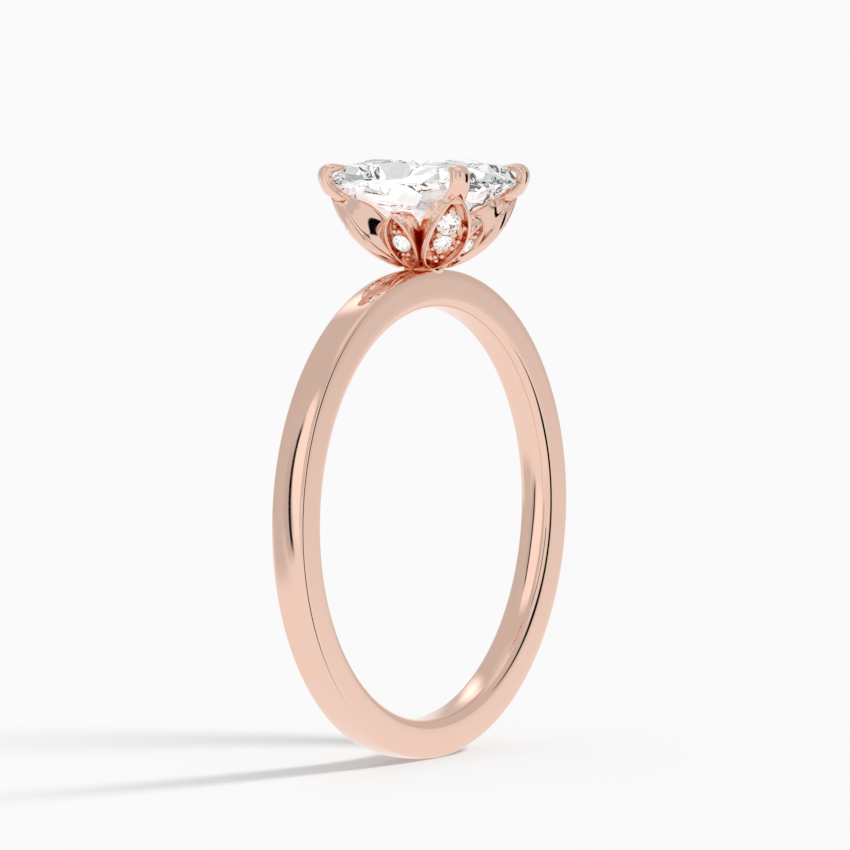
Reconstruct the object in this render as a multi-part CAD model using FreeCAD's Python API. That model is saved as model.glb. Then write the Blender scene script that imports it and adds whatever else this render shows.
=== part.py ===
"""Engagement ring: plain polished shank, petal basket with set melee, cushion-cut centre stone.

Millimetres. The origin is the centre of the finger hole, +Y is the hole's axis,
and +Z points up through the centre stone.
"""
import FreeCAD, Part
import math
import os

V = FreeCAD.Vector

# Shank
FINGER_RADIUS = 8.25            # US size 6, inside diameter 16.5
BAND_THICKNESS = 1.60
BAND_WIDTH = 1.45
COMFORT_FILLET = 0.36           # inside edges, eased for the finger
OUTER_FILLET = 0.10
CROWN_RISE = 0.05               # the outside face is gently domed
BAND_TOP = FINGER_RADIUS + BAND_THICKNESS

# Collar that joins the basket to the shank: a domed button with a short tapered stem
COLLAR_RADIUS = 0.86
COLLAR_BOTTOM = 9.50
COLLAR_TOP = 10.05
STEM_RADIUS = 0.62
STEM_TIP_RADIUS = 0.28
STEM_TOP = 10.72

# Centre stone: elongated cushion outline, long axis along Y
STONE_HALF_X = 2.75
STONE_HALF_Y = 3.65
STONE_ROUNDNESS = 3.0           # exponent of the outline's superellipse
GIRDLE_Z = 13.33
GIRDLE_THICKNESS = 0.10
CROWN_HEIGHT = 0.84
PAVILION_DEPTH = 2.36
GIRDLE_SIDES = 32

# Melee: round brilliants, girdle diameters
LARGE_MELEE = 1.02
SMALL_MELEE = 0.80
MELEE_GIRDLE_SIDES = 16
MELEE_DEPTH = 0.12              # how far each girdle sits below the petal's outer edge

# Petals, each drawn in its own radial plane as (distance from the axis, height)
CORNER_AZIMUTH = 51.0
CORNER_FOOT = (1.05, 9.86)
CORNER_TIP = (3.73, 12.66)
CORNER_BULGE = 0.48             # how far the outer edge bows away from its chord
CORNER_BACK = [(2.98, 12.68), (2.20, 12.40), (1.46, 11.78), (0.80, 10.98), (0.45, 9.90)]
CORNER_HALF_WIDTH = 0.84
CORNER_BODY_GROWTH = 0.70       # how far the body runs on past the leaf's tip
CORNER_STONES = [0.71, 0.46]    # places along the outer edge, as fractions: upper, lower
CORNER_BEADS = [                # place along the outer edge, sideways offset, radius
    (0.85, 0.0, 0.17),
    (0.57, 0.27, 0.15),
    (0.57, -0.27, 0.15),
    (0.33, 0.0, 0.16),
]

SIDE_FOOT = (0.88, 9.86)
SIDE_TIP = (2.40, 11.95)
SIDE_BACK = [(2.02, 12.16), (1.60, 12.18), (1.15, 11.72), (0.50, 10.60), (0.30, 9.90)]

END_FOOT = (1.09, 9.86)
END_TIP = (2.84, 11.67)
END_BACK = [(2.50, 12.00), (2.05, 12.08), (1.55, 11.80), (0.70, 10.60), (0.30, 9.90)]

# Shared by the side and end petals
SIDE_BULGE = 0.16
SIDE_HALF_WIDTH = 0.66
SIDE_BODY_GROWTH = 0.45
SIDE_BEADS = [(0.74, 0.12, 0.12), (0.74, -0.12, 0.12), (0.26, 0.11, 0.11), (0.26, -0.11, 0.11)]

RIM_WIDTH = 0.18
RIM_DEPTH = 0.24                # depth of the set panel below the rim
FRAME_DEPTH = 0.36              # thickness of the front leaf that carries the rim

# Claw prongs, from the petal's shoulder over the girdle to the crown:
# (distance from the axis, height, lean from vertical, radial half size, tangential half size)
CLAW_AZIMUTH = 54.0
CLAW_STATIONS = [
    (3.35, 12.53, 14, 0.32, 0.30),
    (3.37, 12.62, 15, 0.42, 0.38),
    (3.57, 12.88, 26, 0.375, 0.385),
    (3.80, 13.12, 20, 0.33, 0.38),
    (3.94, 13.48, 0, 0.30, 0.38),
    (3.90, 13.70, -30, 0.29, 0.37),
    (3.77, 13.80, -54, 0.24, 0.36),
    (3.50, 13.86, -76, 0.16, 0.30),
    (3.16, 13.87, -86, 0.06, 0.12),
]


def revolve_about_bore(wire):
    return Part.Face(wire).revolve(V(0, 0, 0), V(0, 1, 0), 360)


def shank():
    half = BAND_WIDTH / 2
    inner = FINGER_RADIUS
    edge = BAND_TOP - CROWN_RISE
    soft = COMFORT_FILLET
    crisp = OUTER_FILLET
    bend = math.sqrt(0.5)

    def segment(a, b):
        return Part.LineSegment(V(0, *a), V(0, *b)).toShape()

    def arc(a, b, c):
        return Part.Arc(V(0, *a), V(0, *b), V(0, *c)).toShape()

    edges = [
        segment((-half + soft, inner), (half - soft, inner)),
        arc((half - soft, inner), (half - soft + soft * bend, inner + soft - soft * bend),
            (half, inner + soft)),
        segment((half, inner + soft), (half, edge - crisp)),
        arc((half, edge - crisp), (half - crisp + crisp * bend, edge - crisp + crisp * bend),
            (half - crisp, edge)),
        arc((half - crisp, edge), (0, BAND_TOP), (-half + crisp, edge)),
        arc((-half + crisp, edge), (-half + crisp - crisp * bend, edge - crisp + crisp * bend),
            (-half, edge - crisp)),
        segment((-half, edge - crisp), (-half, inner + soft)),
        arc((-half, inner + soft), (-half + soft - soft * bend, inner + soft - soft * bend),
            (-half + soft, inner)),
    ]
    return revolve_about_bore(Part.Wire(edges))


def collar(band):
    """A low domed button, saddled over the top of the shank, with a stem between the petals."""
    round_off = (COLLAR_TOP - COLLAR_BOTTOM) / 2
    flat = COLLAR_RADIUS - round_off
    low = V(flat, 0, COLLAR_BOTTOM)
    waist = V(COLLAR_RADIUS, 0, COLLAR_BOTTOM + round_off)
    high = V(flat, 0, COLLAR_TOP)
    bottom = V(0, 0, COLLAR_BOTTOM)
    top = V(0, 0, COLLAR_TOP)
    edges = [Part.Arc(low, waist, high).toShape()]
    edges += [Part.LineSegment(a, b).toShape() for a, b in ((bottom, low), (high, top), (top, bottom))]
    outline = Part.Wire(Part.__sortEdges__(edges))
    button = Part.Face(outline).revolve(V(0, 0, 0), V(0, 0, 1), 360)
    root = (COLLAR_BOTTOM + COLLAR_TOP) / 2
    stem = Part.makeCone(STEM_RADIUS, STEM_TIP_RADIUS, STEM_TOP - root, V(0, 0, root))
    return button.fuse(stem).cut(band)


def outline_support(normal_angle, half_x, half_y, power):
    """Point where a superellipse meets its tangent line with the given normal."""
    nx = math.cos(normal_angle)
    ny = math.sin(normal_angle)
    dual = power / (power - 1)
    scale = ((half_x * abs(nx)) ** dual + (half_y * abs(ny)) ** dual) ** (1 / dual)
    x = math.copysign(half_x * (half_x * abs(nx) / scale) ** (dual - 1), nx)
    y = math.copysign(half_y * (half_y * abs(ny) / scale) ** (dual - 1), ny)
    return x, y


def cut_by_plane(solid, point, normal, size=40):
    """Keep the side of the plane that its normal points away from."""
    half_space = Part.makeBox(size, size, size, V(-size / 2, -size / 2, 0))
    half_space.Placement = FreeCAD.Placement(point, FreeCAD.Rotation(V(0, 0, 1), normal))
    return solid.cut(half_space)


def faceted_gem(half_x, half_y, power, sides, tiers, top, bottom):
    """Gem with its girdle centred on z = 0.

    tiers: (facet count, phase as a fraction of a step, height at the outline, slope in degrees).
    A positive slope is a crown facet and a negative slope is a pavilion facet.
    """
    step = 2 * math.pi / sides
    corners = []
    for i in range(sides):
        a = (i + 0.5) * step
        b = a + step
        ax, ay = outline_support(a, half_x, half_y, power)
        bx, by = outline_support(b, half_x, half_y, power)
        da = ax * math.cos(a) + ay * math.sin(a)
        db = bx * math.cos(b) + by * math.sin(b)
        turn = math.sin(b - a)
        x = (da * math.sin(b) - db * math.sin(a)) / turn
        y = (db * math.cos(a) - da * math.cos(b)) / turn
        corners.append(V(x, y, bottom))
    gem = Part.Face(Part.makePolygon(corners + corners[:1])).extrude(V(0, 0, top - bottom))
    for count, phase, height, slope in tiers:
        tilt = math.radians(abs(slope))
        for i in range(count):
            angle = 2 * math.pi * (i + phase) / count
            x, y = outline_support(angle, half_x, half_y, power)
            up = math.cos(tilt) if slope > 0 else -math.cos(tilt)
            normal = V(math.cos(angle) * math.sin(tilt), math.sin(angle) * math.sin(tilt), up)
            gem = cut_by_plane(gem, V(x, y, height), normal)
    return gem


def centre_stone():
    half_girdle = GIRDLE_THICKNESS / 2
    tiers = [
        (16, 0.5, half_girdle, 43),
        (8, 0.0, half_girdle + 0.02, 36),
        (16, 0.5, -half_girdle, -52),
        (8, 0.0, -half_girdle - 0.10, -41),
        (8, 0.5, -half_girdle - 0.34, -35),
    ]
    top = half_girdle + CROWN_HEIGHT
    bottom = -half_girdle - PAVILION_DEPTH
    gem = faceted_gem(STONE_HALF_X, STONE_HALF_Y, STONE_ROUNDNESS, GIRDLE_SIDES, tiers, top, bottom)
    gem.translate(V(0, 0, GIRDLE_Z))
    return gem


def melee(diameter):
    radius = diameter / 2
    thin = 0.02 * diameter
    tiers = [
        (16, 0.5, thin, 42),
        (8, 0.0, thin, 34),
        (16, 0.5, -thin, -42),
    ]
    crown = 0.15 * diameter
    pavilion = 0.43 * diameter
    return faceted_gem(radius, radius, 2.0, MELEE_GIRDLE_SIDES, tiers, crown, -pavilion)


def circle_through(foot, tip, bulge):
    """Centre, radius and end angles of the arc from foot to tip that bows outward by bulge."""
    chord = math.hypot(tip[0] - foot[0], tip[1] - foot[1])
    radius = chord ** 2 / (8 * bulge) + bulge / 2
    out = ((tip[1] - foot[1]) / chord, -(tip[0] - foot[0]) / chord)
    middle = ((foot[0] + tip[0]) / 2, (foot[1] + tip[1]) / 2)
    centre = (middle[0] - out[0] * (radius - bulge), middle[1] - out[1] * (radius - bulge))
    start = math.atan2(foot[1] - centre[1], foot[0] - centre[0])
    end = math.atan2(tip[1] - centre[1], tip[0] - centre[0])
    return centre, radius, start, end


def on_arc(arc, fraction, depth=0.0):
    """Point below the petal's outer edge, and the outward normal there, in the radial plane."""
    centre, radius, start, end = arc
    angle = start + (end - start) * fraction
    reach = radius - depth
    point = V(centre[0] + reach * math.cos(angle), 0, centre[1] + reach * math.sin(angle))
    return point, V(math.cos(angle), 0, math.sin(angle))


def slab_behind_arc(arc, depth, back, width=4.0):
    """Everything behind the outer edge, inset by depth, out to the points of back."""
    start = on_arc(arc, 0.0, depth)[0]
    middle = on_arc(arc, 0.5, depth)[0]
    end = on_arc(arc, 1.0, depth)[0]
    corners = [end] + [V(x, 0, z) for x, z in back] + [start]
    edges = [Part.Arc(start, middle, end).toShape()]
    edges += [Part.LineSegment(a, b).toShape() for a, b in zip(corners, corners[1:])]
    face = Part.Face(Part.Wire(edges))
    face.translate(V(0, -width / 2, 0))
    return face.extrude(V(0, width, 0))


def leaf_prism(foot, tip, half_width, lower, upper, reach=3.0):
    """Marquise outline between lower and upper along the chord, extruded along the panel normal."""
    chord = V(tip[0] - foot[0], 0, tip[1] - foot[1])
    along = V(chord).normalize()
    normal = V(along.z, 0, -along.x)
    start = V(foot[0], 0, foot[1]) + along * lower
    end = V(foot[0], 0, foot[1]) + along * upper
    middle = (start + end) * 0.5
    side = V(0, half_width, 0)
    edges = [
        Part.Arc(start, middle + side, end).toShape(),
        Part.Arc(end, middle - side, start).toShape(),
    ]
    face = Part.Face(Part.Wire(edges))
    face.translate(normal * -reach)
    return face.extrude(normal * (2 * reach))


def petal(foot, tip, bulge, back, half_width, body_growth, beads, stones):
    """A leaf-shaped plate with a raised rim, backed by a thick body that hugs the stone.

    beads: (place along the rim as a fraction, sideways offset, radius), raised on the panel.
    stones: solids already in place in the radial plane, whose seats are cut.
    """
    arc = circle_through(foot, tip, bulge)
    length = math.hypot(tip[0] - foot[0], tip[1] - foot[1])
    whole = slab_behind_arc(arc, 0.0, back)
    core = slab_behind_arc(arc, FRAME_DEPTH, back)
    leaf = whole.common(leaf_prism(foot, tip, half_width, 0.0, length))
    body = core.common(leaf_prism(foot, tip, half_width * 0.9, -0.2, length + body_growth))
    pocket = leaf_prism(foot, tip, half_width - RIM_WIDTH, 2.2 * RIM_WIDTH, length - 2.2 * RIM_WIDTH)
    floor = slab_behind_arc(arc, RIM_DEPTH, [(-4, 14), (-4, 8)])
    solid = leaf.fuse(body).cut(pocket.cut(floor))
    for fraction, offset, radius in beads:
        centre = on_arc(arc, fraction, RIM_DEPTH)[0] + V(0, offset, 0)
        solid = solid.fuse(Part.makeSphere(radius, centre))
    for stone in stones:
        solid = solid.cut(stone)
    return max(solid.Solids, key=lambda s: s.Volume)


def set_in_panel(gem, foot, tip, bulge, fraction):
    """A melee stone, its table facing out of the panel."""
    point, normal = on_arc(circle_through(foot, tip, bulge), fraction, MELEE_DEPTH)
    stone = gem.copy()
    stone.Placement = FreeCAD.Placement(point, FreeCAD.Rotation(V(0, 0, 1), normal))
    return stone


def claw():
    """A rounded prong: ellipses lofted along its bent spine."""
    rings = []
    for distance, height, lean, radial, tangential in CLAW_STATIONS:
        direction = V(math.sin(math.radians(lean)), 0, math.cos(math.radians(lean)))
        across = V(math.cos(math.radians(lean)), 0, -math.sin(math.radians(lean)))
        centre = V(distance, 0, height)
        if radial >= tangential:
            ellipse = Part.Ellipse(centre + across * radial, centre + V(0, tangential, 0), centre)
        else:
            ellipse = Part.Ellipse(centre + V(0, tangential, 0), centre + across * radial, centre)
        rings.append(Part.Wire(ellipse.toShape()))
    return Part.makeLoft(rings, True, False)


def turned(shape, azimuth):
    copy = shape.copy()
    copy.rotate(V(0, 0, 0), V(0, 0, 1), azimuth)
    return copy


def save(name, shape):
    if not shape.isValid() or len(shape.Solids) != 1:
        raise ValueError(f"{name}: valid {shape.isValid()}, {len(shape.Solids)} solids")
    shape.Solids[0].exportStep(f"parts/{name}.step")
    print(f"{name:28s} {shape.Volume:9.4f} mm3")


def main():
    os.makedirs("parts", exist_ok=True)
    band = shank()
    button = collar(band)
    stone = centre_stone()
    save("shank", band)
    save("head_collar", button)
    save("centre_stone", stone)

    large = melee(LARGE_MELEE)
    small = melee(SMALL_MELEE)
    corner = (CORNER_FOOT, CORNER_TIP, CORNER_BULGE)
    upper_melee = set_in_panel(large, *corner, CORNER_STONES[0])
    lower_melee = set_in_panel(small, *corner, CORNER_STONES[1])
    corner_petal = petal(*corner, CORNER_BACK, CORNER_HALF_WIDTH, CORNER_BODY_GROWTH, CORNER_BEADS,
                         [upper_melee, lower_melee])
    prong = claw()

    side = (SIDE_FOOT, SIDE_TIP, SIDE_BULGE)
    end = (END_FOOT, END_TIP, SIDE_BULGE)
    side_melee = set_in_panel(small, *side, 0.5)
    end_melee = set_in_panel(small, *end, 0.5)
    side_petal = petal(*side, SIDE_BACK, SIDE_HALF_WIDTH, SIDE_BODY_GROWTH, SIDE_BEADS, [side_melee])
    end_petal = petal(*end, END_BACK, SIDE_HALF_WIDTH, SIDE_BODY_GROWTH, SIDE_BEADS, [end_melee])

    corners = {
        "front_left": (0, 1),
        "back_left": (180, -1),
        "back_right": (180, 1),
        "front_right": (0, -1),
    }
    fixed = [button, band, stone]
    corner_solids = []
    for name, (half_turn, sense) in corners.items():
        azimuth = half_turn + sense * CORNER_AZIMUTH
        solid = turned(corner_petal, azimuth)
        for other in fixed:
            solid = solid.cut(other)
        solid = max(solid.Solids, key=lambda s: s.Volume)
        corner_solids.append(solid)
        claw_solid = turned(prong, half_turn + sense * CLAW_AZIMUTH).cut(stone).cut(solid)
        save(f"corner_petal_{name}", solid)
        save(f"claw_prong_{name}", max(claw_solid.Solids, key=lambda s: s.Volume))
        save(f"upper_melee_{name}", turned(upper_melee, azimuth))
        save(f"lower_melee_{name}", turned(lower_melee, azimuth))

    sides = {
        "front": (0, side_petal, side_melee),
        "left": (90, end_petal, end_melee),
        "back": (180, side_petal, side_melee),
        "right": (270, end_petal, end_melee),
    }
    for name, (azimuth, solid, gem) in sides.items():
        solid = turned(solid, azimuth)
        for other in fixed + corner_solids:
            solid = solid.cut(other)
        save(f"side_petal_{name}", max(solid.Solids, key=lambda s: s.Volume))
        save(f"side_melee_{name}", turned(gem, azimuth))


main()
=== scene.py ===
"""Looks for a rose-gold engagement ring: polished shank, petal basket, pave melee, cushion-cut stone.

Metres, in the frame of the CAD part: origin at the finger hole's centre, +Y the hole's axis, +Z up.
Shapes below are worked out in millimetres and scaled once, when each mesh is made.
"""
import bmesh
import bpy
import math
import random
from mathutils import Matrix, Vector


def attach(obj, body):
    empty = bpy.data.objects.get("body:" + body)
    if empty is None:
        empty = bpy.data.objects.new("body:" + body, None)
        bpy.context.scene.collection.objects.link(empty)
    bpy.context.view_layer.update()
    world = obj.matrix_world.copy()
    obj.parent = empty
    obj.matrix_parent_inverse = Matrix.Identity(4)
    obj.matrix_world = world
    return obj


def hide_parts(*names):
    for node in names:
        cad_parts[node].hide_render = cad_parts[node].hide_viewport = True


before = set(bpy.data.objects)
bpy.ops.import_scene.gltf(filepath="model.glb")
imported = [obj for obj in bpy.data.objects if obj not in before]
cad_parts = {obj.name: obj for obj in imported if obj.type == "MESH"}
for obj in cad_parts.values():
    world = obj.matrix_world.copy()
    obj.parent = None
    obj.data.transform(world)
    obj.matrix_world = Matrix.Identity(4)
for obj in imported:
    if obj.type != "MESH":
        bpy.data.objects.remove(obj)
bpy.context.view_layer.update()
random.seed(11)

MM = 0.001

# Shank, millimetres
FINGER_RADIUS = 8.25
BAND_THICKNESS = 1.60
BAND_WIDTH = 1.45
COMFORT_FILLET = 0.36           # inside edges, eased for the finger
OUTER_FILLET = 0.15
CROWN_RISE = 0.038              # how far the outside is domed
BORE_RISE = 0.030               # how far the bore is domed
COMFORT_SWEEP = 86              # degrees of fillet, short of 90 so that it runs on into the dome
OUTER_SWEEP = 84
BAND_TURNS = 720
BAND_TOP = FINGER_RADIUS + BAND_THICKNESS
FLOOR_Z = -BAND_TOP

# Collar: a domed button on the band
COLLAR_RADIUS = 0.82
COLLAR_BOTTOM = 9.60
COLLAR_TOP = 10.05
STEM_TOP = 10.72                # the petals' roots close round a short tapered stem
STEM_RADIUS = 0.62
STEM_TIP_RADIUS = 0.28
COLLAR_TURNS = 128

# Centre stone, its long side along Y
STONE_HALF_X = 2.75
STONE_HALF_Y = 3.65
STONE_ROUNDNESS = 3.0           # exponent of the outline's superellipse
GIRDLE_Z = 13.33
GIRDLE_THICKNESS = 0.08
CROWN_HEIGHT = 0.84
PAVILION_DEPTH = 2.36
GIRDLE_SIDES = 32               # on the melee too
SEAT_SCALE = 1.012              # the seat clears the stone by a hair

# Melee: girdle diameters, and heights as shares of the diameter
LARGE_MELEE = 1.02
SMALL_MELEE = 0.80
MELEE_CROWN = 0.155
MELEE_PAVILION = 0.43
MELEE_DEPTH = 0.14              # how far each girdle sits below the petal's outer edge

# Seats drilled for the melee
SEAT_CLEARANCE = 0.012
SEAT_DEPTH = 0.47               # below the girdle, as a share of the diameter
SEAT_OPENING = 0.40             # how far the hole reaches above the girdle
SEAT_TURNS = 48

# Petals
RIM_WIDTH = 0.145
PANEL_DEPTH = 0.36
PLATE_DEPTH = 0.36              # thickness of the leaf-shaped plate in front of the petal's body
CORNER_AZIMUTH = 54.0           # the corner petals and claws, in degrees from +X or -X
FOOT_SWING = 2.0                # degrees that the corner petals' feet swing towards the band's plane
SHARP_ANGLE = 38                # edges sharper than this, in degrees, stay crisp

# Beads that hold the melee
BEAD_TOP_DEPTH = 0.03           # the beads stand almost as high as the rim
BEAD_HEIGHT = 0.85              # how high a typical bead's dome is, as a share of its radius
BEAD_SQUASH = (0.80, 0.92)      # the range that the height really takes
BEAD_SPREAD = (0.94, 1.05)      # how much the beads differ in size
BEAD_ROOT = 0.05                # how far a bead goes on below the panel
BEAD_CLEARANCE = 1.02           # beads are shaved to a stone this much larger


# ---------------------------------------------------------------- helpers

def link_object(name, data):
    made = bpy.data.objects.new(name, data)
    bpy.context.scene.collection.objects.link(made)
    return made


def add_mesh(name, verts, faces, material, smooth=True):
    """A mesh object from millimetre coordinates."""
    mesh = bpy.data.meshes.new(name)
    mesh.from_pydata([[c * MM for c in v] for v in verts], [], faces)
    mesh.validate()
    mesh.materials.append(material)
    for polygon in mesh.polygons:
        polygon.use_smooth = smooth
    return link_object(name, mesh)


def mesh_from(work, name):
    """A new mesh from the bmesh, with every face turned outwards."""
    bmesh.ops.recalc_face_normals(work, faces=work.faces)
    mesh = bpy.data.meshes.new(name)
    work.to_mesh(mesh)
    work.free()
    return mesh


def swap_mesh(piece, mesh):
    """Give the piece a new mesh in place of its own, and drop its modifiers."""
    piece.modifiers.clear()
    old = piece.data
    piece.data = mesh
    bpy.data.meshes.remove(old)


def turn_about_z(degrees, size=4):
    return Matrix.Rotation(math.radians(degrees), size, "Z")


def finish_piece(piece, node, slot):
    if slot.startswith("rose_gold"):
        piece.visible_transmission = False      # the stones show the room, not the gold behind them
    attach(piece, "root")
    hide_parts(node)


def clean_normals(piece):
    """Merge doubled points, and turn every face outwards."""
    work = bmesh.new()
    work.from_mesh(piece.data)
    bmesh.ops.remove_doubles(work, verts=work.verts, dist=1e-7)
    bmesh.ops.recalc_face_normals(work, faces=work.faces)
    work.to_mesh(piece.data)
    work.free()


def apply_subdivision(piece, levels):
    modifier = piece.modifiers.new("smooth", "SUBSURF")
    modifier.levels = levels
    modifier.render_levels = levels
    graph = bpy.context.evaluated_depsgraph_get()
    swap_mesh(piece, bpy.data.meshes.new_from_object(piece.evaluated_get(graph)))
    for polygon in piece.data.polygons:
        polygon.use_smooth = True


def grid_faces(rows, columns, wrap_rows=False, wrap_columns=True):
    """Quads between points laid out row by row."""
    faces = []
    for i in range(rows if wrap_rows else rows - 1):
        for j in range(columns if wrap_columns else columns - 1):
            a = i * columns + j
            b = i * columns + (j + 1) % columns
            c = ((i + 1) % rows) * columns + (j + 1) % columns
            d = ((i + 1) % rows) * columns + j
            faces.append((a, b, c, d))
    return faces


def close_ends(verts, faces, rows, columns):
    """Close the first and the last ring of a tube, each with a fan of triangles."""
    for row in (0, rows - 1):
        ring = [row * columns + j for j in range(columns)]
        middle = len(verts)
        verts.append(sum((verts[k] for k in ring), Vector()) / columns)
        for j in range(columns):
            faces.append((ring[j], ring[(j + 1) % columns], middle))


# ---------------------------------------------------------------- materials

TINT_RANGE = (0.30, 0.70)       # noise levels between which the alloy's colour drifts
HAZE_RANGE = (0.8, 1.25)        # how far the roughness drifts, as factors
MARK_FINENESS = 40              # lapping marks are this much finer than the haze
MARK_DEPTH = 0.000002           # metres
# Painted shade: recesses in the head and claws are blended towards this deep orange, standing in for
# light that bounces between close walls
PAINTED_SHADE_ORANGE = (0.66, 0.200, 0.052)
PAINTED_SHADE_RANGE = (0.30, 0.77)    # openness at which a recess is all painted orange shade, and where none of it is left
PAINTED_SHADE_SAMPLES = 8
DIAMOND_INDEX = 2.417
CLOUD_SCALE = 900


def new_material(name):
    material = bpy.data.materials.new(name)
    material.use_nodes = True
    tree = material.node_tree
    return material, tree, tree.nodes["Principled BSDF"]


def rose_gold(name, colour, dark_colour, roughness, polish_scale, bump, painted_shade_reach=0.0):
    """Polished alloy: faint colour drift, polishing haze and very fine lapping marks.

    Recesses narrower than the given reach, in millimetres, are painted a deep orange shade, which stands
    in for the colour that light keeps after many bounces between close walls. With no reach there is
    none of it.
    """
    material, tree, shader = new_material(name)
    coords = tree.nodes.new("ShaderNodeTexCoord")
    drift = tree.nodes.new("ShaderNodeTexNoise")
    drift.inputs["Scale"].default_value = polish_scale
    drift.inputs["Detail"].default_value = 2.0
    tint = tree.nodes.new("ShaderNodeValToRGB")
    for stop, place, tone in zip(tint.color_ramp.elements, TINT_RANGE, (dark_colour, colour)):
        stop.position = place
        stop.color = (*tone, 1)
    haze = tree.nodes.new("ShaderNodeMapRange")
    haze.inputs["To Min"].default_value = roughness * HAZE_RANGE[0]
    haze.inputs["To Max"].default_value = roughness * HAZE_RANGE[1]
    marks = tree.nodes.new("ShaderNodeTexNoise")
    marks.inputs["Scale"].default_value = polish_scale * MARK_FINENESS
    marks.inputs["Detail"].default_value = 4.0
    relief = tree.nodes.new("ShaderNodeBump")
    relief.inputs["Strength"].default_value = bump
    relief.inputs["Distance"].default_value = MARK_DEPTH
    links = tree.links
    links.new(coords.outputs["Object"], drift.inputs["Vector"])
    links.new(coords.outputs["Object"], marks.inputs["Vector"])
    links.new(drift.outputs["Fac"], tint.inputs["Fac"])
    links.new(tint.outputs["Color"], shader.inputs["Base Color"])
    # Painted shade: where ambient occlusion finds close walls, the base colour is blended to deep orange
    if painted_shade_reach:
        shade = tree.nodes.new("ShaderNodeAmbientOcclusion")
        shade.samples = PAINTED_SHADE_SAMPLES
        shade.inputs["Distance"].default_value = painted_shade_reach * MM
        openness = tree.nodes.new("ShaderNodeMapRange")
        openness.inputs["From Min"].default_value = PAINTED_SHADE_RANGE[0]
        openness.inputs["From Max"].default_value = PAINTED_SHADE_RANGE[1]
        blend = tree.nodes.new("ShaderNodeMix")
        blend.data_type = "RGBA"
        blend.inputs["A"].default_value = (*PAINTED_SHADE_ORANGE, 1)
        links.new(shade.outputs["AO"], openness.inputs["Value"])
        links.new(openness.outputs["Result"], blend.inputs["Factor"])
        links.new(tint.outputs["Color"], blend.inputs["B"])
        links.new(blend.outputs["Result"], shader.inputs["Base Color"])
    links.new(drift.outputs["Fac"], haze.inputs["Value"])
    links.new(haze.outputs["Result"], shader.inputs["Roughness"])
    links.new(marks.outputs["Fac"], relief.inputs["Height"])
    links.new(relief.outputs["Normal"], shader.inputs["Normal"])
    shader.inputs["Metallic"].default_value = 1.0
    return material


def diamond(name):
    """Clear faceted stone: full transmission at diamond's index, with a trace of cloud."""
    material, tree, shader = new_material(name)
    coords = tree.nodes.new("ShaderNodeTexCoord")
    cloud = tree.nodes.new("ShaderNodeTexNoise")
    cloud.inputs["Scale"].default_value = CLOUD_SCALE
    clarity = tree.nodes.new("ShaderNodeValToRGB")
    clarity.color_ramp.elements[0].color = (0.985, 0.988, 0.995, 1)
    clarity.color_ramp.elements[1].color = (1.0, 1.0, 1.0, 1)
    tree.links.new(coords.outputs["Object"], cloud.inputs["Vector"])
    tree.links.new(cloud.outputs["Fac"], clarity.inputs["Fac"])
    tree.links.new(clarity.outputs["Color"], shader.inputs["Base Color"])
    shader.inputs["Transmission Weight"].default_value = 1.0
    shader.inputs["IOR"].default_value = DIAMOND_INDEX
    shader.inputs["Roughness"].default_value = 0.0
    return material


HEAD_TINTS = ((0.910, 0.648, 0.545), (0.890, 0.615, 0.500))
BAND_GOLD = rose_gold("polished_rose_gold_band", (0.905, 0.628, 0.515), (0.890, 0.612, 0.498),
                      roughness=0.045, polish_scale=260, bump=0.05)
# The head and claw gold carry painted orange shade in their recesses, within the reach given
HEAD_GOLD = rose_gold("polished_rose_gold_head", *HEAD_TINTS,
                      roughness=0.050, polish_scale=900, bump=0.05, painted_shade_reach=0.32)
CLAW_GOLD = rose_gold("polished_rose_gold_claw", *HEAD_TINTS,
                      roughness=0.050, polish_scale=900, bump=0.05, painted_shade_reach=0.12)
CLEAR_STONE = diamond("centre_diamond_clear")
MELEE_STONE = diamond("melee_diamond_clear")


# ---------------------------------------------------------------- shank and collar

def arc_points(centre, radius, start, end, count):
    """Points (across, out) on a circular arc, angles in degrees from the across axis."""
    points = []
    for i in range(count + 1):
        angle = math.radians(start + (end - start) * i / count)
        points.append((centre[0] + radius * math.cos(angle), centre[1] + radius * math.sin(angle)))
    return points


def dome(reach, rise, radius, steps, outward):
    """Points strictly between the two ends of a shallow arc across the band."""
    dome_radius = reach ** 2 / (2 * rise) + rise / 2
    points = []
    for i in range(1, steps):
        across = reach * (1 - 2 * i / steps)
        drop = dome_radius - math.sqrt(dome_radius ** 2 - across ** 2)
        points.append((across, radius - drop if outward else radius + drop))
    return points


def band_section():
    """Closed outline of the band, as (across the band, distance from the bore's axis)."""
    half = BAND_WIDTH / 2
    edge = BAND_TOP - CROWN_RISE
    bore = FINGER_RADIUS + BORE_RISE
    soft = COMFORT_FILLET
    crisp = OUTER_FILLET
    inner = arc_points((half - soft, bore + soft), soft, -COMFORT_SWEEP, 0, 14)
    outer = arc_points((half - crisp, edge - crisp), crisp, 0, OUTER_SWEEP, 8)
    flat = [(half, bore + soft + (edge - crisp - bore - soft) * i / 4) for i in range(1, 4)]
    side = inner + flat + outer
    far_side = [(-across, out) for across, out in reversed(side)]
    outside = dome(half - crisp, CROWN_RISE, BAND_TOP, 16, outward=True)
    inside = dome(half - soft, BORE_RISE, FINGER_RADIUS, 10, outward=False)
    return side + outside + far_side + inside[::-1]


def make_shank():
    section = band_section()
    verts = []
    for i in range(BAND_TURNS):
        angle = 2 * math.pi * i / BAND_TURNS
        for across, out in section:
            verts.append((out * math.cos(angle), across, out * math.sin(angle)))
    faces = grid_faces(BAND_TURNS, len(section), wrap_rows=True)
    piece = add_mesh("shank_polished", verts, faces, BAND_GOLD)
    clean_normals(piece)
    finish_piece(piece, "shank", "rose_gold_band")


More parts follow.
